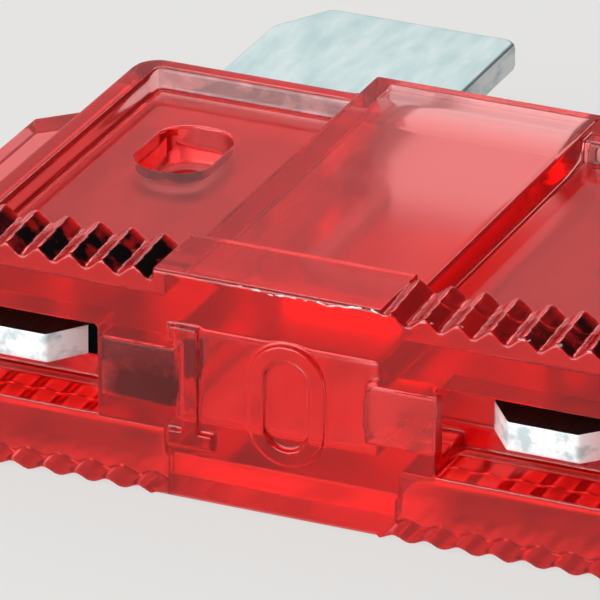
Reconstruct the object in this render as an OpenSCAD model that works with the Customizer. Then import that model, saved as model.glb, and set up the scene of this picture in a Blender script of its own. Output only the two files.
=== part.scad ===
// Blade fuse of the regular size: a clear moulded housing round a one-piece stamped element.
// Modelled with the front face towards -Y, the blades towards +Y and the flat faces up and down.

/* [Grip head] */
// Width over the ends of the head
head_w = 19.1; // [17.6:0.1:24]
// Thickness over the rib crests
head_t = 5.1; // [4.6:0.1:7]
// Length of the smooth pad in the middle of the head
pad_l = 1.93; // [1.6:0.01:3]
// Width of the smooth pad
pad_w = 4.9; // [4:0.1:6]
// How far the upper pad lies below the rib crests
pad_drop = 0.13; // [0.02:0.01:0.3]
// Radius along the front edges of the pads
pad_edge_r = 0.2; // [0.1:0.01:0.35]
// Length of the grip ribs
rib_l = 1.5; // [1:0.05:1.9]
// Distance from one rib crest to the next
rib_pitch = 0.7; // [0.5:0.01:0.9]
// Depth of the valleys between the upper ribs
rib_depth_upper = 0.26; // [0.1:0.01:0.3]
// Depth of the valleys between the lower ribs
rib_depth_lower = 0.12; // [0.06:0.01:0.3]
// How far the crests of the upper ribs fall towards the front
rib_fall = 0.12; // [0:0.01:0.2]
// Fullness of the upper ribs, from 1 for round arches to 3 for narrow crests
rib_form_upper = 1.4; // [1:0.1:3]
// How straight the sides of the upper ribs are, from 0 for arches to 1 for a sawtooth
rib_straight = 0.7; // [0:0.05:1]
// Fullness of the lower ribs, from 1 for round arches to 3 for narrow crests
rib_form_lower = 2; // [1:0.1:3]
// First crest on the upper side, from the middle
rib_start_upper = 2.77; // [2.7:0.01:3.5]
// How far the upper ribs lie off centre, towards the left
rib_shift = 0.09; // [0:0.01:0.2]
// First crest on the lower side, from the middle
rib_start_lower = 3.12; // [2.5:0.01:3.5]

/* [Window block] */
// Width of the raised block over the link
block_w = 5.08; // [4.9:0.01:6]
// Thickness of the block
block_t = 4.1; // [3.4:0.05:4.6]
// Length from the front face to the back of the block
block_l = 11.65; // [10.8:0.05:14]

/* [Side panels] */
// Width over the outer sides of the two rims
rim_span = 15.2; // [15:0.1:17]
// Thickness over the rims
rim_t = 3.8; // [3.2:0.05:4.4]
// Thickness between the panel floors
panel_t = 2.86; // [2.2:0.02:3.1]
// Width of the rim along the sides
rim_side_w = 0.57; // [0.35:0.01:0.9]
// Width of the rim along the back
rim_back_w = 0.5; // [0.35:0.01:0.9]
// Length from the front face to the back of the rims
rim_l = 11; // [10.4:0.05:12]
// Outer radius of the back corners of the rims
rim_corner_r = 0.6; // [0.55:0.05:1.2]

/* [Wings] */
// Thickness of the wings beside the panels
wing_t = 1.2; // [0.8:0.05:2]
// Cut on the back corners of the wings
wing_cut = 1.3; // [0.6:0.05:1.8]

/* [Test slots] */
// Distance between the inner ends of the two slots
slot_inner_gap = 7.32; // [6.4:0.02:8.4]
// Height of the slots
slot_h = 1.92; // [1.2:0.02:2.1]
// Depth of the slots
slot_l = 1.5; // [1.2:0.05:2]
// Space between a slot's outer end and the blade
slot_end_gap = 0.2; // [0.1:0.01:0.3]
// Thickness of the front wall between the slots
front_wall = 0.4; // [0.3:0.01:0.6]

/* [Link chamber] */
// Wall between the chamber and each flat side of the block
window_wall = 1; // [0.7:0.05:1.3]
// Wall between the chamber and each side of the block
chamber_wall = 0.3; // [0.2:0.01:0.45]
// Wall between the chamber and the front face
chamber_front = 0.9; // [0.7:0.05:1.2]
// Wall beside the chamber's wider mouth, at the back of the block
mouth_wall = 0.5; // [0.3:0.05:0.65]
// Length of the mouth
mouth_l = 0.85; // [0.5:0.05:1.2]
// Length of the slope that leads from the mouth into the chamber
mouth_slope_l = 0.85; // [0.5:0.05:1.2]

/* [Blades] */
// Width of each blade
blade_w = 5.2; // [5:0.05:5.6]
// Thickness of the sheet
blade_t = 0.65; // [0.5:0.01:0.8]
// Gap between the two blades
blade_gap = 4.1; // [3.9:0.05:4.5]
// Length of the blades beyond the block
blade_out = 6.85; // [5:0.05:9]
// Distance from the front face to the noses of the test tabs
tab_set_back = 0.45; // [0.42:0.01:0.8]
// Width of each nose
nose_w = 1.5; // [1:0.05:1.8]
// Length of the noses
nose_l = 0.8; // [0.4:0.05:0.9]
// Width of the slanted side of a nose, towards the middle of the fuse
nose_slant = 0.6; // [0.3:0.05:0.8]
// Distance of each nose from the blade's outer edge
nose_out = 0.75; // [0.5:0.05:1]
// Width cut from the outer corner of each tip
tip_cut_w = 0.75; // [0.3:0.05:1.2]
// Length cut from the outer corner of each tip
tip_cut_l = 1.3; // [0.5:0.05:2]
// Cut on the inner corner of each tip
tip_inner_cut = 0.2; // [0.05:0.01:0.5]
// Length of the head end of the element, in front of its waist
tab_l = 1.9; // [1.5:0.05:2.4]
// Width of the right test tab
tab_right_w = 2.85; // [2.4:0.05:3.2]
// Radius in the corner of the right tab's cut-out
tab_corner_r = 0.8; // [0.4:0.05:1]
// Depth of the waist that the link joins
waist_cut = 0.9; // [0.4:0.05:1.2]
// Back end of the waist, in front of the block's back
waist_back = 1.4; // [1:0.05:2]

/* [Link] */
// Width of the link
link_w = 0.45; // [0.3:0.01:0.9]
// Thickness of the link
link_t = 0.3; // [0.15:0.01:0.5]
// Bend radius of the link along its middle
link_bend_r = 0.9; // [0.6:0.05:1.2]
// Distance of the long run from the middle, towards the left blade
link_offset = 1.1; // [0.6:0.05:1.3]
// Front end of the link, from the front face
link_front_y = 4.1; // [3.7:0.05:5]
// Back end of the link, from the front face
link_back_y = 9.2; // [7.5:0.05:9.8]

/* [Stakes] */
// Width of each stake pit
stake_w = 1.65; // [1.3:0.05:2.2]
// Length of each stake pit
stake_l = 2.4; // [1.8:0.05:3]
// Corner radius of the stake pits
stake_r = 0.7; // [0.4:0.05:0.8]
// Distance of the stakes from the middle of the fuse
stake_x = 5.22; // [4.9:0.01:5.5]
// Distance of the stakes from the front face
stake_y = 7.75; // [5.5:0.05:8.6]
// Height of the pit floor above the mid-plane
stake_floor = 0.62; // [0.5:0.01:0.75]
// How much smaller the post is than the pit, on each side
stake_post_inset = 0.25; // [0.15:0.01:0.35]

/* [Numerals] */
// Height of the numerals
digit_h = 2.6; // [1.8:0.05:3]
// Width of the nought
digit_w = 1.62; // [1.2:0.02:2]
// Stroke of the numerals
digit_stroke = 0.32; // [0.2:0.01:0.4]
// How far the numerals stand out
digit_relief = 0.1; // [0.04:0.01:0.2]
// Place of the middle of the nought
nought_x = 0.49; // [0.3:0.01:0.8]
// Place of the one's upright
one_x = -1.6; // [-2:0.01:-1.2]

/* [Fits] */
// Clearance between the element and the housing, on each side
fit_gap = 0.05; // [0.02:0.01:0.1]

/* [Hidden] */
facets = 48;
eps = 0.01;
blade_end_y = block_l + blade_out;
blade_in_x = blade_gap / 2;
blade_out_x = blade_in_x + blade_w;
nose_out_x = blade_out_x - nose_out;
nose_in_x = nose_out_x - nose_w;
nose_end_y = tab_set_back + nose_l;
waist_x = blade_in_x + waist_cut;
waist_end_y = block_l - waist_back;
tab_end_y = tab_set_back + tab_l;
pad_upper_z = head_t / 2 - pad_drop;
pad_lower_z = -head_t / 2;
rib_steps = 10;
rib_reach = 0.5;
fall_angle = atan(rib_fall / rib_l);
chamber_t = block_t - 2 * window_wall;
chamber_w = block_w - 2 * chamber_wall;
total_l = blade_end_y + digit_relief;

// Height of the rib wave, 1 on each crest and 0 in each valley, at a distance in rib pitches
function rib_wave(u, form, straight) =
  (1 - straight) * pow(abs(cos(180 * u)), form) + straight * (1 - 2 * abs(u - round(u)));

// A rectangle with round corners, centred
module round_rect(w, l, r) {
  square([w, l - 2 * r], center = true);
  square([w - 2 * r, l], center = true);
  for (sx = [-1, 1], sy = [-1, 1])
    translate([sx * (w / 2 - r), sy * (l / 2 - r)])
      circle(r = r, $fn = facets);
}

// An upright outline with straight sides and round ends, centred
module stadium(w, l) {
  square([w, l - w], center = true);
  for (end = [-1, 1])
    translate([0, end * (l - w) / 2])
      circle(r = w / 2, $fn = facets);
}

// A box centred across and through the fuse, from one distance behind the front face to another
module bar(w, t, from_y, to_y) {
  translate([-w / 2, from_y, -t / 2])
    cube([w, to_y - from_y, t]);
}

// The same shape on the left and on the right
module both_sides() {
  for (side = [0, 1])
    mirror([side, 0, 0])
      children();
}

// The same shape above and below the mid-plane
module both_faces() {
  for (face = [0, 1])
    mirror([0, 0, face])
      children();
}

// Ribbed half of the head on one side, from the mid-plane up; the first crest is at start
module rib_bank(start, depth, form, straight, tilt) {
  step = rib_pitch / rib_steps;
  in_x = pad_w / 2;
  end_x = head_w / 2;
  stations = [for (i = [floor((in_x - start) / step) : ceil((end_x - start) / step)]) start + i * step];
  intersection() {
    translate([in_x, 0, 0])
      cube([end_x - in_x, rib_l, head_t / 2 + eps]);
    translate([0, rib_l, head_t / 2])
      rotate([tilt, 0, 0])
        translate([0, rib_reach, 0])
          rotate([90, 0, 0])
            linear_extrude(height = rib_l + 2 * rib_reach)
              polygon(concat(
                [[stations[len(stations) - 1], -head_t], [stations[0], -head_t]],
                [for (x = stations) [x, depth * (rib_wave((x - start) / rib_pitch, form, straight) - 1)]]
              ));
  }
}

// The space left by rounding an edge along X: a square strip less a round bar
module edge_round(w, r) {
  rotate([90, 0, 90])
    linear_extrude(height = w, center = true)
      difference() {
        translate([-eps, -r])
          square([r + eps, r + eps]);
        translate([r, -r])
          circle(r = r, $fn = facets);
      }
}

module head() {
  for (side = [0, 1])
    mirror([side, 0, 0])
      rib_bank(rib_start_upper + (2 * side - 1) * rib_shift, rib_depth_upper, rib_form_upper,
        rib_straight, fall_angle);
  both_sides()
    mirror([0, 0, 1])
      rib_bank(rib_start_lower, rib_depth_lower, rib_form_lower, 0, 0);
  difference() {
    translate([-pad_w / 2, 0, pad_lower_z])
      cube([pad_w, pad_l, pad_upper_z - pad_lower_z]);
    translate([0, 0, pad_upper_z])
      edge_round(pad_w + 2 * eps, pad_edge_r);
    mirror([0, 0, 1])
      translate([0, 0, -pad_lower_z])
        edge_round(pad_w + 2 * eps, pad_edge_r);
  }
}

// Outline of the two side panels with round back corners
module panel_outline(span, length, r) {
  translate([-span / 2, 0])
    square([span, length - r]);
  translate([-span / 2 + r, 0])
    square([span - 2 * r, length]);
  for (sx = [-1, 1])
    translate([sx * (span / 2 - r), length - r])
      circle(r = r, $fn = facets);
}

module rims() {
  inner_r = rim_corner_r - rim_back_w;
  difference() {
    linear_extrude(height = rim_t, center = true)
      panel_outline(rim_span, rim_l, rim_corner_r);
    both_faces()
      translate([0, 0, panel_t / 2])
        linear_extrude(height = rim_t)
          panel_outline(rim_span - 2 * rim_side_w, rim_l - rim_back_w, inner_r);
  }
}

module wings() {
  linear_extrude(height = wing_t, center = true)
    polygon([
      [-head_w / 2, 0], [head_w / 2, 0],
      [head_w / 2, rim_l - wing_cut], [head_w / 2 - wing_cut, rim_l],
      [-head_w / 2 + wing_cut, rim_l], [-head_w / 2, rim_l - wing_cut]
    ]);
}

// Test slots in the front face and the room behind the front wall for the tab ends
module test_slots() {
  slot_end_x = blade_out_x + slot_end_gap;
  both_sides() {
    translate([slot_inner_gap / 2, -eps, -slot_h / 2])
      cube([slot_end_x - slot_inner_gap / 2, slot_l + eps, slot_h]);
    translate([blade_in_x - eps, front_wall, -blade_t])
      cube([slot_end_x - blade_in_x + eps, slot_l - front_wall, 2 * blade_t]);
  }
}

// Room for the element: one flat pocket for each blade and the tall chamber between them
module element_room() {
  pocket_t = blade_t + 2 * fit_gap;
  both_sides()
    translate([blade_in_x - fit_gap, front_wall, -pocket_t / 2])
      cube([blade_w + 2 * fit_gap, block_l, pocket_t]);
  bar(chamber_w, chamber_t, chamber_front, block_l + eps);
  chamber_mouth();
}

// The chamber widens at the back, where the element goes in
module chamber_mouth() {
  mouth_t = block_t - 2 * mouth_wall;
  mouth_y = block_l - mouth_l;
  slope_y = mouth_y - mouth_slope_l;
  rotate([90, 0, 90])
    linear_extrude(height = chamber_w, center = true)
      polygon([
        [slope_y, -chamber_t / 2], [mouth_y, -mouth_t / 2],
        [block_l + eps, -mouth_t / 2], [block_l + eps, mouth_t / 2],
        [mouth_y, mouth_t / 2], [slope_y, chamber_t / 2]
      ]);
}

module stake_pits() {
  both_sides()
    both_faces()
      translate([stake_x, stake_y, stake_floor])
        linear_extrude(height = head_t)
          round_rect(stake_w, stake_l, stake_r);
}

// The part of each stake that passes through the blade, or the hole for it
module stake_core(extra, h) {
  core_w = stake_w - 2 * stake_post_inset + 2 * extra;
  core_l = stake_l - 2 * stake_post_inset + 2 * extra;
  both_sides()
    translate([stake_x, stake_y, 0])
      linear_extrude(height = h, center = true)
        round_rect(core_w, core_l, stake_r - stake_post_inset + extra);
}

module numerals() {
  foot_w = digit_w * 0.6;
  translate([0, eps, 0])
    rotate([90, 0, 0])
      linear_extrude(height = digit_relief + eps) {
        translate([nought_x, 0])
          difference() {
            stadium(digit_w, digit_h);
            stadium(digit_w - 2 * digit_stroke, digit_h - 2 * digit_stroke);
          }
        translate([one_x - digit_stroke / 2, -digit_h / 2])
          square([digit_stroke, digit_h]);
        translate([one_x - foot_w / 2, -digit_h / 2])
          square([foot_w, digit_stroke]);
        translate([one_x - foot_w / 2, digit_h / 2 - digit_stroke])
          square([foot_w / 2, digit_stroke]);
      }
}

module housing_solid() {
  difference() {
    union() {
      head();
      rims();
      wings();
      bar(block_w, block_t, rib_l, block_l);
    }
    test_slots();
    element_room();
    stake_pits();
  }
  stake_core(0, 2 * stake_floor);
  numerals();
}

// Outline of the left blade, from its test tab to its tip
module left_blade() {
  polygon([
    [-blade_out_x, nose_end_y], [-nose_out_x, tab_set_back],
    [-nose_in_x, tab_set_back], [-nose_in_x + nose_slant, nose_end_y],
    [-blade_in_x, nose_end_y],
    [-blade_in_x, tab_end_y], [-waist_x, tab_end_y],
    [-waist_x, waist_end_y], [-blade_in_x, waist_end_y],
    [-blade_in_x, blade_end_y - tip_inner_cut],
    [-blade_in_x - tip_inner_cut, blade_end_y],
    [-blade_out_x + tip_cut_w, blade_end_y],
    [-blade_out_x, blade_end_y - tip_cut_l]
  ]);
}

// The right blade is the left one mirrored, with the inner part of its tab cut away
module right_blade() {
  tab_x = blade_out_x - tab_right_w;
  difference() {
    mirror([1, 0])
      left_blade();
    translate([blade_in_x - eps, tab_set_back - eps])
      square([tab_x - blade_in_x - tab_corner_r + eps, tab_l + tab_corner_r + eps]);
    translate([blade_in_x - eps, tab_set_back - eps])
      square([tab_x - blade_in_x + eps, tab_l + eps]);
    translate([tab_x - tab_corner_r, tab_end_y])
      circle(r = tab_corner_r, $fn = facets);
  }
}

// A quarter of a flat ring round the origin, in the quadrant that sx and sy point to
module quarter_bend(sx, sy) {
  intersection() {
    difference() {
      circle(r = link_bend_r + link_w / 2, $fn = facets);
      circle(r = link_bend_r - link_w / 2, $fn = facets);
    }
    scale([sx, sy])
      square(link_bend_r + link_w);
  }
}

// The link: in from the left waist, forward along the chamber and out to the right waist
module link() {
  translate([-waist_x - eps, link_back_y - link_w / 2])
    square([waist_x - link_offset - link_bend_r + 2 * eps, link_w]);
  translate([-link_offset - link_bend_r, link_back_y - link_bend_r])
    quarter_bend(1, 1);
  translate([-link_offset - link_w / 2, link_front_y + link_bend_r - eps])
    square([link_w, link_back_y - link_front_y - 2 * link_bend_r + 2 * eps]);
  translate([-link_offset + link_bend_r, link_front_y + link_bend_r])
    quarter_bend(-1, -1);
  translate([-link_offset + link_bend_r - eps, link_front_y - link_w / 2])
    square([waist_x + link_offset - link_bend_r + 2 * eps, link_w]);
}

module element_solid() {
  difference() {
    linear_extrude(height = blade_t, center = true) {
      left_blade();
      right_blade();
    }
    stake_core(fit_gap, 2 * blade_t);
  }
  linear_extrude(height = link_t, center = true)
    link();
}

// Puts the fuse on its lower face, centred over the origin
module seated() {
  translate([0, digit_relief - total_l / 2, head_t / 2])
    children();
}

module housing() {
  color([0.78, 0.1, 0.1, 0.6])
    seated()
      housing_solid();
}

module fuse_element() {
  color([0.8, 0.84, 0.84])
    seated()
      element_solid();
}

housing();
fuse_element();
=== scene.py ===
"""Looks for the blade fuse: a clear red moulded housing round a stamped zinc element.

Unless a line says otherwise, places are in millimetres from the middle of the front face: x across the
two blades, y back towards the blade tips and z up.
"""

import math

import bmesh
import bpy
from mathutils import Matrix, Vector


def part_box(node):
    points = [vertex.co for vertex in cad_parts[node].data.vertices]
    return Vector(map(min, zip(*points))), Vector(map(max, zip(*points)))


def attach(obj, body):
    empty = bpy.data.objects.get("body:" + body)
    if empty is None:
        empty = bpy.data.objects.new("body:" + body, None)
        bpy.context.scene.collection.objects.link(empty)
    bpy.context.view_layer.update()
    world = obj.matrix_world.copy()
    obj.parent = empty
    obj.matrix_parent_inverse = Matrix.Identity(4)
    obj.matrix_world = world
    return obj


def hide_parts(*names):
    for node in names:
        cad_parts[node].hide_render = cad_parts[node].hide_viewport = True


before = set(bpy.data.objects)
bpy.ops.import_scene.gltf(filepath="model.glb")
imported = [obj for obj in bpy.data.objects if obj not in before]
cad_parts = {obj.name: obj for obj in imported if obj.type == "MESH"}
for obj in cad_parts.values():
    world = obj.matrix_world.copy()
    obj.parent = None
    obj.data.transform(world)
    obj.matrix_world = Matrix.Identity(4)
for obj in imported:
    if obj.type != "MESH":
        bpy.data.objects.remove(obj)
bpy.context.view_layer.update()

MM = 0.001
low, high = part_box("housing")
middle = Vector((0, (low.y + high.y) / 2, (low.z + high.z) / 2))
NUMERAL_RISE = 0.1
front_y = round(low.y / MM + NUMERAL_RISE, 3)
middle_z = round(middle.z / MM, 3)
front_centre = Vector((0, front_y, middle_z)) * MM

CHAMBER_HALF_W, CHAMBER_HALF_H = 2.24, 1.55
CHAMBER_FRONT, CHAMBER_BACK = 0.9, 11.65
POCKET_HALF_W, POCKET_HALF_H = 7.3, 0.38
FRONT_WALL = 0.4
TAB_ROOT = 1.9
PAD_HALF_W, PAD_TOP = 2.45, 2.42
STAKE_X, STAKE_PIT_FRONT = 5.22, 6.75


# ---------------------------------------------------------------- shader nodes


def linear(hex_colour):
    """An sRGB hex value such as "C82828" as linear red, green, blue and alpha."""
    parts = [int(hex_colour[i:i + 2], 16) / 255 for i in (0, 2, 4)]
    return [c / 12.92 if c <= 0.04045 else ((c + 0.055) / 1.055) ** 2.4 for c in parts] + [1.0]


def add(tree, kind, feeds=None, **settings):
    """Adds a shader node. Settings name its properties or sockets. Feeds link a socket or give its value."""
    made = tree.nodes.new("ShaderNode" + kind)
    for name, value in settings.items():
        if hasattr(made, name):
            setattr(made, name, value)
        else:
            made.inputs[name.replace("_", " ")].default_value = value
    for key, feed in (feeds or {}).items():
        by_name = isinstance(key, str)
        socket = next(i for i in made.inputs if i.enabled and i.name == key) if by_name else made.inputs[key]
        if isinstance(feed, bpy.types.NodeSocket):
            tree.links.new(feed, socket)
        else:
            socket.default_value = feed
    return made


def noise(tree, place, size, detail):
    """Cloudy noise with features of a size in millimetres."""
    return add(tree, "TexNoise", {"Vector": place}, Scale=1 / (size * MM), Detail=detail).outputs["Fac"]


def eased(tree, value, start, end, before=0.0, after=1.0):
    """One level before the start, another after the end, and even in between."""
    made = add(tree, "MapRange", {"Value": value}, From_Min=start, From_Max=end, To_Min=before, To_Max=after)
    return made.outputs["Result"]


def maths(tree, operation, *values, **settings):
    return add(tree, "Math", dict(enumerate(values)), operation=operation, **settings).outputs[0]


def product(tree, first, *others):
    for other in others:
        first = maths(tree, "MULTIPLY", first, other)
    return first


def two_tones(tree, value, start, dark, end, light):
    """Runs from a dark hex colour to a light one between two values."""
    ramp = add(tree, "ValToRGB", {"Fac": value})
    for stop, place, colour in zip(ramp.color_ramp.elements, (start, end), (dark, light)):
        stop.position, stop.color = place, linear(colour)
    return ramp.outputs["Color"]


def tint(tree, share, under, over):
    return add(tree, "Mix", {"Factor": share, "A": under, "B": over}, data_type="RGBA").outputs[2]


def cover(tree, share, under, over):
    return add(tree, "MixShader", {0: share, 1: under, 2: over}).outputs[0]


def new_material(name):
    made = bpy.data.materials.new(name)
    made.use_nodes = True
    made.node_tree.nodes.clear()
    return made, made.node_tree


# ---------------------------------------------------------------- finishes


def flash_bead_and_highlight(tree, place):
    """Where a thin broken bead of flash runs along the front edge of the upper pad, painted pale as a
    highlight.
    """
    apart = add(tree, "SeparateXYZ", {"Vector": place}).outputs
    edge_z = (middle_z + PAD_TOP - 0.03) * MM
    sway = eased(tree, noise(tree, place, 0.55, 3.0), 0.3, 0.7, -0.08 * MM, 0.02 * MM)
    off = maths(tree, "SUBTRACT", maths(tree, "SUBTRACT", apart["Z"], edge_z), sway)
    return product(
        tree,
        eased(tree, maths(tree, "ABSOLUTE", off), 0.022 * MM, 0.008 * MM),
        eased(tree, apart["Y"], (front_y + 0.1) * MM, (front_y + 0.07) * MM),
        eased(tree, apart["X"], -0.9 * MM, -0.2 * MM),
        eased(tree, apart["X"], (PAD_HALF_W - 0.05) * MM, (PAD_HALF_W + 0.15) * MM, 1.0, 0.4),
        eased(tree, noise(tree, place, 0.2, 2.0), 0.45, 0.55),
    )


def clear_red_polycarbonate():
    """Polycarbonate with a clear red dye and a trace of cloudiness, injection moulded.

    The dye sits in the depth of the plastic, so thin walls look light and thick ones deep red. The outside
    comes from a polished cavity and is glossy. The room inside comes from a machined core: it is a little
    hazy in the chamber and frosted in the pockets. A dark colour laid on the marked places is painted shade.
    """
    made, tree = new_material("clear_red_polycarbonate")
    place = add(tree, "TexCoord").outputs["Object"]
    grain = noise(tree, place, 0.09, 3.0)
    flow = add(tree, "Bump", {"Height": noise(tree, place, 1.8, 2.0)}, Strength=0.06, Distance=0.05 * MM)
    skin = add(
        tree, "Bump", {"Height": grain, "Normal": flow.outputs["Normal"]}, Strength=0.1, Distance=0.004 * MM,
    ).outputs["Normal"]
    core = add(tree, "Attribute", attribute_name="core_side").outputs["Fac"]
    haze = eased(tree, grain, 0.3, 0.75, 0.08, 0.13)
    rough = add(tree, "Mix", {"Factor": core, "A": haze, "B": 0.34}, data_type="FLOAT").outputs["Result"]
    clear = add(
        tree, "BsdfPrincipled", {"Normal": skin, "Roughness": rough},
        Base_Color=linear("FFF4F2"), IOR=1.585, Specular_IOR_Level=0.3, Transmission_Weight=1.0,
    )
    cloudy = add(tree, "BsdfDiffuse", {"Normal": skin}, Color=linear("F03430"))
    plastic = cover(tree, 0.1, clear.outputs["BSDF"], cloudy.outputs[0])

    # Painted shade: a near-black diffuse laid over the plastic where the marks say, broken up by noise.
    painted_shade = add(tree, "Attribute", attribute_name="painted_shade").outputs["Fac"]
    shade_patches = eased(tree, noise(tree, place, 0.5, 4.0), 0.34, 0.5, 0.45)
    shade_cover = maths(tree, "MULTIPLY", painted_shade, shade_patches, use_clamp=True)
    shade_film = add(tree, "BsdfDiffuse", Color=linear("120D0E"))
    # The flash bead's pale colour is a painted highlight.
    bead = add(tree, "BsdfDiffuse", Color=linear("FFE2E0"))
    shaded = cover(tree, shade_cover, plastic, shade_film.outputs[0])
    dye = add(tree, "VolumeAbsorption", Color=(0.998, 0.02, 0.03, 1), Density=1000.0)
    add(tree, "OutputMaterial", {
        "Surface": cover(tree, flash_bead_and_highlight(tree, place), shaded, bead.outputs[0]),
        "Volume": dye.outputs["Volume"],
    })
    return made


def stamped_zinc():
    """Rolled zinc sheet, stamped: pale grey with a faint cool cast, softly glossy along the rolling lines.

    The test tabs' faces and their set-back ends are tinted near black, as painted shade. The punch left the
    tabs' ends and the blades' sides torn and chalky, so they scatter the light more than the rolled faces
    do.
    """
    made, tree = new_material("stamped_zinc")
    place = add(tree, "TexCoord").outputs["Object"]
    along = add(tree, "Mapping", {"Vector": place}, Scale=(1, 0.12, 1)).outputs["Vector"]
    smeared = add(tree, "Mapping", {"Vector": place}, Scale=(1, 0.3, 1)).outputs["Vector"]
    rolled = noise(tree, along, 0.12, 4.0)
    clouds = noise(tree, smeared, 0.35, 8.0)
    cut = add(tree, "Attribute", attribute_name="cut").outputs["Fac"]
    # Painted shade: the test tabs' faces are tinted near black where this attribute is set.
    tab_shade = add(tree, "Attribute", attribute_name="tab_shade").outputs["Fac"]
    sheet = two_tones(tree, clouds, 0.3, "C4DADA", 0.7, "E0EBEB")
    torn = two_tones(tree, clouds, 0.38, "C6D6D8", 0.5, "FCFDFD")
    lines = add(tree, "Bump", {"Height": rolled}, Strength=0.06, Distance=0.004 * MM)
    surface = add(tree, "BsdfPrincipled", {
        "Base Color": tint(tree, tab_shade, tint(tree, cut, sheet, torn), linear("04100F")),
        "Roughness": eased(tree, rolled, 0.3, 0.7, 0.44, 0.56),
        "Metallic": eased(tree, cut, 0.0, 1.0, 1.0, 0.25),
        "Normal": lines.outputs["Normal"],
    })
    add(tree, "OutputMaterial", {"Surface": surface.outputs["BSDF"]})
    return made


def red_light_under_fuse(tree):
    """What rays through the plastic meet on the paper: painted red light under the fuse, patchy, dimmed as
    painted shadow under the rib banks, and white round it.
    """
    half_w, half_l, centre_y = 9.6, 6.2, 6.0
    ground = add(tree, "TexCoord").outputs["Object"]
    apart = add(tree, "SeparateXYZ", {"Vector": ground}).outputs
    sideways = maths(tree, "ABSOLUTE", apart["X"])
    from_middle = add(tree, "Mapping", {"Vector": ground}, Scale=(1 / (half_w * MM), 1 / (half_l * MM), 0))
    from_middle.inputs["Location"].default_value = (0, -(front_y + centre_y) / half_l, 0)
    share = add(tree, "SeparateXYZ", {"Vector": from_middle.outputs["Vector"]}).outputs
    aside, beyond = (maths(tree, "ABSOLUTE", share[axis]) for axis in "XY")
    furthest = maths(tree, "MAXIMUM", aside, beyond)
    patchy_red_light = two_tones(tree, noise(tree, ground, 1.3, 2.0), 0.34, "CC302A", 0.52, "FF5046")
    # Painted shadow of the rib banks on the paper, where the red light is dimmed.
    rib_shadow = product(
        tree,
        eased(tree, apart["Y"], (front_y + 1.3) * MM, (front_y + 2.1) * MM),
        eased(tree, apart["Y"], (front_y + 4.4) * MM, (front_y + 3.4) * MM),
        eased(tree, sideways, 2.4 * MM, 3.4 * MM),
    )
    return add(tree, "Emission", {
        "Color": tint(tree, eased(tree, furthest, 0.92, 1.04), patchy_red_light, linear("FFFFFF")),
        "Strength": eased(tree, rib_shadow, 0.0, 1.0, 1.0, 0.3),
    }).outputs[0]


def pale_paper():
    """Matt paper sweep that the fuse lies on, seen straight at its own pale grey and darker in mirrors."""
    made, tree = new_material("pale_paper")
    rays = add(tree, "LightPath").outputs
    lit = add(tree, "BsdfDiffuse", Color=linear("E4E3E1"))
    level = eased(tree, rays["Is Glossy Ray"], 0.0, 1.0, 1.0, 0.5)
    plain = add(tree, "Emission", {"Strength": level}, Color=linear("E4E3E1"))
    seen = product(tree, maths(tree, "MAXIMUM", rays["Is Camera Ray"], rays["Is Glossy Ray"]), 0.85)
    through = product(tree, rays["Is Transmission Ray"], 0.95)
    paper = cover(tree, seen, lit.outputs[0], plain.outputs[0])
    add(tree, "OutputMaterial", {"Surface": cover(tree, through, paper, red_light_under_fuse(tree))})
    return made


# ---------------------------------------------------------------- meshes


def millimetre_mesh(node):
    """A CAD node's own mesh in millimetres, which the modifiers below need."""
    shape = bmesh.new()
    shape.from_mesh(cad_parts[node].data)
    bmesh.ops.remove_doubles(shape, verts=shape.verts, dist=0.002 * MM)
    bmesh.ops.scale(shape, vec=Vector((1, 1, 1)) / MM, verts=shape.verts)
    return shape


def plain_mesh(shape):
    mesh = bpy.data.meshes.new("blank")
    shape.to_mesh(mesh)
    shape.free()
    return mesh


def worked_mesh(mesh, modifiers, weights=None):
    """The mesh that a list of modifiers makes of another. Weights fill the group that one of them names."""
    blank = bpy.data.objects.new("blank", mesh)
    bpy.context.scene.collection.objects.link(blank)
    if weights:
        group = blank.vertex_groups.new(name="weights")
        for vertex in mesh.vertices:
            share = weights(vertex.co)
            if share > 0:
                group.add([vertex.index], share, "REPLACE")
    for kind, settings in modifiers:
        made = blank.modifiers.new(kind.lower(), kind)
        for setting, value in settings.items():
            setattr(made, setting, value)
    worked = bpy.data.meshes.new_from_object(blank.evaluated_get(bpy.context.evaluated_depsgraph_get()))
    bpy.data.objects.remove(blank)
    return worked


def in_metres(mesh, name):
    mesh.transform(Matrix.Scale(MM, 4))
    mesh.name = name
    mesh.shade_smooth()
    return mesh


def place_piece(mesh, name, node, material):
    """Stands a finished mesh in for a CAD node, with its material."""
    made = bpy.data.objects.new(name, mesh)
    bpy.context.scene.collection.objects.link(made)
    mesh.materials.clear()
    mesh.materials.append(material)
    even = made.modifiers.new("even_shading", "WEIGHTED_NORMAL")
    even.weight = 80
    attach(made, "root")
    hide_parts(node)
    return made


def mark(mesh, name, domain, share):
    """Writes what share says of each vertex or face, from its place and its normal, as an attribute."""
    on_points = domain == "POINT"
    marks = mesh.attributes.new(name, "FLOAT", domain).data
    for item, made in zip(mesh.vertices if on_points else mesh.polygons, marks):
        centre = item.co if on_points else item.center
        made.value = share((centre - front_centre) / MM, item.normal)


def ramp(value, start, end):
    """0 before the start, 1 after the end and even in between. The end may be the smaller of the two."""
    return min(1.0, max(0.0, (value - start) / (end - start)))


# ---------------------------------------------------------------- housing


def core_share(place, normal):
    """How frosted the room for the element is: a little in the chamber, and fully in the pockets."""
    ease = 0.12
    x, y, z = abs(place.x), place.y, abs(place.z)
    if y > CHAMBER_BACK - ease:
        return 0.0
    if x < CHAMBER_HALF_W + ease and z < CHAMBER_HALF_H + ease and y > CHAMBER_FRONT - ease:
        return 0.2
    return float(x < POCKET_HALF_W + ease and z < POCKET_HALF_H + ease and y > FRONT_WALL - ease)


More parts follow.
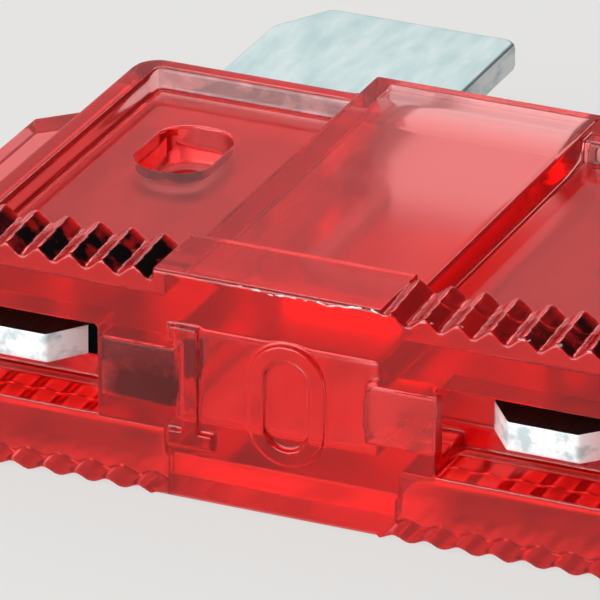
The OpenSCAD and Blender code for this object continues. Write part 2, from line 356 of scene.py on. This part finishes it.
def rib_flank_shade(place, normal):
    """Painted shade on the right-hand flanks of the upper ribs, thick on the left bank and at the far right.
    """
    x, y, z = place
    flank = ramp(normal.x, 0.2, 0.4) * ramp(z, 1.9, 2.05) * ramp(y, 1.45, 1.15) * ramp(abs(x), 2.4, 2.5)
    left_bank = 0.9 + 0.3 * ramp(x, -6.5, -3.5)
    right_bank = 0.15 + 0.8 * ramp(x, 4.2, 6.0)
    return flank * (left_bank if x < 0 else right_bank)


def oval_shade(place, normal):
    """Painted shade: the dark oval beside the numerals, on both faces of the front wall and stronger on the
    inner one.
    """
    x, y, z = place
    centre_x, centre_z, half_w, half_h = -2.78, -0.2, 0.88, 0.62
    oval = ramp(math.hypot((x - centre_x) / half_w, (z - centre_z) / half_h), 1.15, 0.8)
    inner_face = ramp(y, 0.25, 0.35) * ramp(y, 0.6, 0.5)
    outer_face = ramp(y, 0.1, 0.05)
    return 1.7 * oval * (inner_face + 0.35 * outer_face)


def rim_foot_shade(place, normal):
    """Painted shade along the inner foot of the back rim."""
    return 0.4 * (
        ramp(normal.y, -0.25, -0.5) * ramp(place.y, 9.9, 10.05)
        * ramp(place.z, 1.38, 1.45) * ramp(abs(place.x), 2.6, 2.8)
    )


def pit_wall_shade(place, normal):
    """Painted shade on the front wall of each stake pit."""
    off_side, off_wall = abs(abs(place.x) - STAKE_X), abs(place.y - STAKE_PIT_FRONT)
    front_wall = ramp(normal.y, 0.2, 0.5) * ramp(off_side, 0.95, 0.7) * ramp(off_wall, 0.4, 0.3)
    return 0.9 * front_wall * ramp(place.z, 0.6, 0.7) * ramp(place.z, 1.5, 1.4)


# The housing's painted shade: the strongest of the marks above.
def painted_shade_share(place, normal):
    return max(part(place, normal) for part in (rib_flank_shade, oval_shade, rim_foot_shade, pit_wall_shade))


def easing_share(point):
    """1 where the moulding is rounder: the rims' edges, the foot of the ribs and the chamber. Ribs 0.4."""
    x, y, z = abs(point.x), point.y - front_y, abs(point.z - middle_z)
    on_side = 6.4 < x < 7.75 and 1.8 < y < 11.1 and 1.3 < z < 2.0
    on_back = 2.7 < x < 7.75 and 9.9 < y < 11.1 and 1.3 < z < 2.0
    at_foot = 2.6 < x < 7.0 and 1.4 < y < 1.9 and 1.2 < z < 1.8
    in_chamber = x < 2.4 and 0.7 < y < 11.5 and z < 1.6
    if on_side or on_back or at_foot or in_chamber:
        return 1.0
    on_rib = x > 2.7 and y < 1.6 and z > 1.7
    return 0.4 * on_rib


def tighten_pad_edge(shape, old=0.2, new=0.07):
    """Draws the round along the upper pad's front edge in from its old radius to a smaller one."""
    top = middle_z + PAD_TOP
    slack = 0.05
    for vertex in shape.verts:
        out = (front_y + old - vertex.co.y) / old
        rise = (vertex.co.z - top + old) / old
        on_pad = abs(vertex.co.x) < PAD_HALF_W + slack and min(out, rise) > -0.01
        if on_pad and abs(math.hypot(out, rise) - 1) < slack:
            vertex.co.y = front_y + new - new * out
            vertex.co.z = top - new + new * rise


def moulded_housing():
    """The moulding with every corner eased, inside and out, as plastic leaves a tool."""
    shape = millimetre_mesh("housing")
    tighten_pad_edge(shape)
    even = worked_mesh(plain_mesh(shape), [
        ("REMESH", {"mode": "VOXEL", "voxel_size": 0.036}),
        ("SMOOTH", {"factor": 0.5, "iterations": 3}),
    ])
    rounder = worked_mesh(even, [
        ("SMOOTH", {"factor": 0.5, "iterations": 30, "vertex_group": "weights"}),
        ("DECIMATE", {"ratio": 0.09}),
    ], easing_share)
    mesh = in_metres(rounder, "moulded_housing")
    mark(mesh, "core_side", "POINT", core_share)
    # Writes where the housing's painted shade lies.
    mark(mesh, "painted_shade", "POINT", painted_shade_share)
    return place_piece(mesh, "moulded_housing", "housing", clear_red_polycarbonate())


# ---------------------------------------------------------------- element


def tab_shade_share(place, normal):
    """Painted shade on the broad faces of the test tabs, and on the set-back ends behind the front wall."""
    hidden = place.y > 1.0 or abs(place.x) < 3.9
    return float(place.y < TAB_ROOT and (abs(normal.z) > 0.7 or hidden))


def cut_share(place, normal):
    """The ends of the test tabs and the sides of the blades, which the punch cut."""
    if place.y < 1.0 and normal.y < -0.5:
        return 1.0
    return 0.8 if place.y > TAB_ROOT and abs(normal.x) > 0.8 else 0.0


def soften_edges(shape):
    """Weights for the bevel: wide on the coined blades, less on the tabs' ends and narrow elsewhere."""
    weight = shape.edges.layers.float.new("bevel_weight_edge")
    coined_from, tab_ends_to = 9.7, 1.0
    for edge in shape.edges:
        if len(edge.link_faces) == 2 and edge.calc_face_angle() > math.radians(28):
            ends = [vertex.co.y - front_y for vertex in edge.verts]
            edge[weight] = 1.0 if min(ends) > coined_from else 0.5 if max(ends) < tab_ends_to else 0.2


def stamped_element():
    """The sheet element with the slight roll-over that a punch leaves on its edges."""
    shape = millimetre_mesh("fuse_element")
    bmesh.ops.dissolve_limit(shape, angle_limit=math.radians(1), verts=shape.verts, edges=shape.edges)
    bmesh.ops.bisect_plane(
        shape, geom=list(shape.verts) + list(shape.edges) + list(shape.faces),
        plane_co=(0, front_y + TAB_ROOT, 0), plane_no=(0, 1, 0),
    )
    soften_edges(shape)
    rolled_over = [("BEVEL", {"limit_method": "WEIGHT", "width": 0.18, "segments": 4})]
    mesh = in_metres(worked_mesh(plain_mesh(shape), rolled_over), "stamped_element")
    # Writes where the tabs' painted shade lies.
    mark(mesh, "tab_shade", "FACE", tab_shade_share)
    mark(mesh, "cut", "FACE", cut_share)
    return place_piece(mesh, "stamped_element", "fuse_element", stamped_zinc())


moulded_housing()
stamped_element()


# ---------------------------------------------------------------- room, light and camera


def paper_floor():
    bpy.ops.mesh.primitive_plane_add(size=1.2, location=(0, 0, -0.01 * MM))
    made = bpy.context.object
    made.name = "floor"
    made.data.materials.append(pale_paper())


def softbox(name, place, size, watts):
    """A square lamp that faces the middle of the fuse. Its place and size are in metres."""
    light = bpy.data.lights.new(name, "AREA")
    light.shape = "RECTANGLE"
    light.size = light.size_y = size
    light.energy = watts
    made = bpy.data.objects.new(name, light)
    bpy.context.scene.collection.objects.link(made)
    made.location = place
    made.rotation_euler = (middle - Vector(place)).to_track_quat("-Z", "Y").to_euler()


def studio_world():
    """Pale room. In mirrors and through the plastic it is light on the left and darker towards the right."""
    world = bpy.data.worlds.new("studio")
    bpy.context.scene.world = world
    world.use_nodes = True
    tree = world.node_tree
    tree.nodes.clear()
    rays = add(tree, "LightPath").outputs
    toward = add(tree, "TexCoord").outputs["Generated"]
    across = add(tree, "SeparateXYZ", {"Vector": toward}).outputs["X"]
    mirrored = eased(tree, across, -0.25, 0.0, 0.42, 0.06)
    through = eased(tree, across, -0.1, 0.4, 1.0, 0.3)
    shown = add(tree, "Background", Color=linear("E4E3E1"), Strength=1.0)
    glossy = add(tree, "Background", {"Strength": mirrored}, Color=linear("F4F6F8"))
    clear = add(tree, "Background", {"Strength": through}, Color=linear("FFFFFF"))
    lit = add(tree, "Background", Color=linear("F4F6F8"), Strength=0.6)
    picked = cover(tree, rays["Is Glossy Ray"], lit.outputs[0], glossy.outputs[0])
    picked = cover(tree, rays["Is Transmission Ray"], picked, clear.outputs[0])
    picked = cover(tree, rays["Is Camera Ray"], picked, shown.outputs[0])
    add(tree, "OutputWorld", {"Surface": picked})


def close_camera():
    """A long lens near the front face. Distance and shifts are in millimetres from its middle."""
    azimuth, elevation, roll = (math.radians(a) for a in (23.263, 24.514, 0.39))
    distance, shift_right, shift_up = 169.75, 0.697, 2.0
    back = Vector((
        math.sin(azimuth) * math.cos(elevation),
        -math.cos(azimuth) * math.cos(elevation),
        math.sin(elevation),
    ))
    level = Vector((math.cos(azimuth), math.sin(azimuth), 0))
    above = back.cross(level)
    right = level * math.cos(roll) + above * math.sin(roll)
    up = above * math.cos(roll) - level * math.sin(roll)
    camera = bpy.data.objects.new("camera", bpy.data.cameras.new("camera"))
    bpy.context.scene.collection.objects.link(camera)
    bpy.context.scene.camera = camera
    camera.data.sensor_width = 36
    camera.data.lens = 514
    camera.data.clip_start = 1 * MM
    camera.data.clip_end = 5
    camera.location = front_centre + (back * distance + right * shift_right + up * shift_up) * MM
    camera.rotation_mode = "QUATERNION"
    turn = camera.matrix_world.to_3x3()
    turn.col[0], turn.col[1], turn.col[2] = right, up, back
    camera.rotation_quaternion = turn.to_quaternion()


paper_floor()
softbox("back_softbox", (-0.05, 0.085, 0.136), 0.12, 0.09)
softbox("front_softbox", (-0.07, -0.15, 0.06), 0.16, 0.3)
studio_world()
close_camera()

bpy.context.scene.view_settings.view_transform = "Standard"
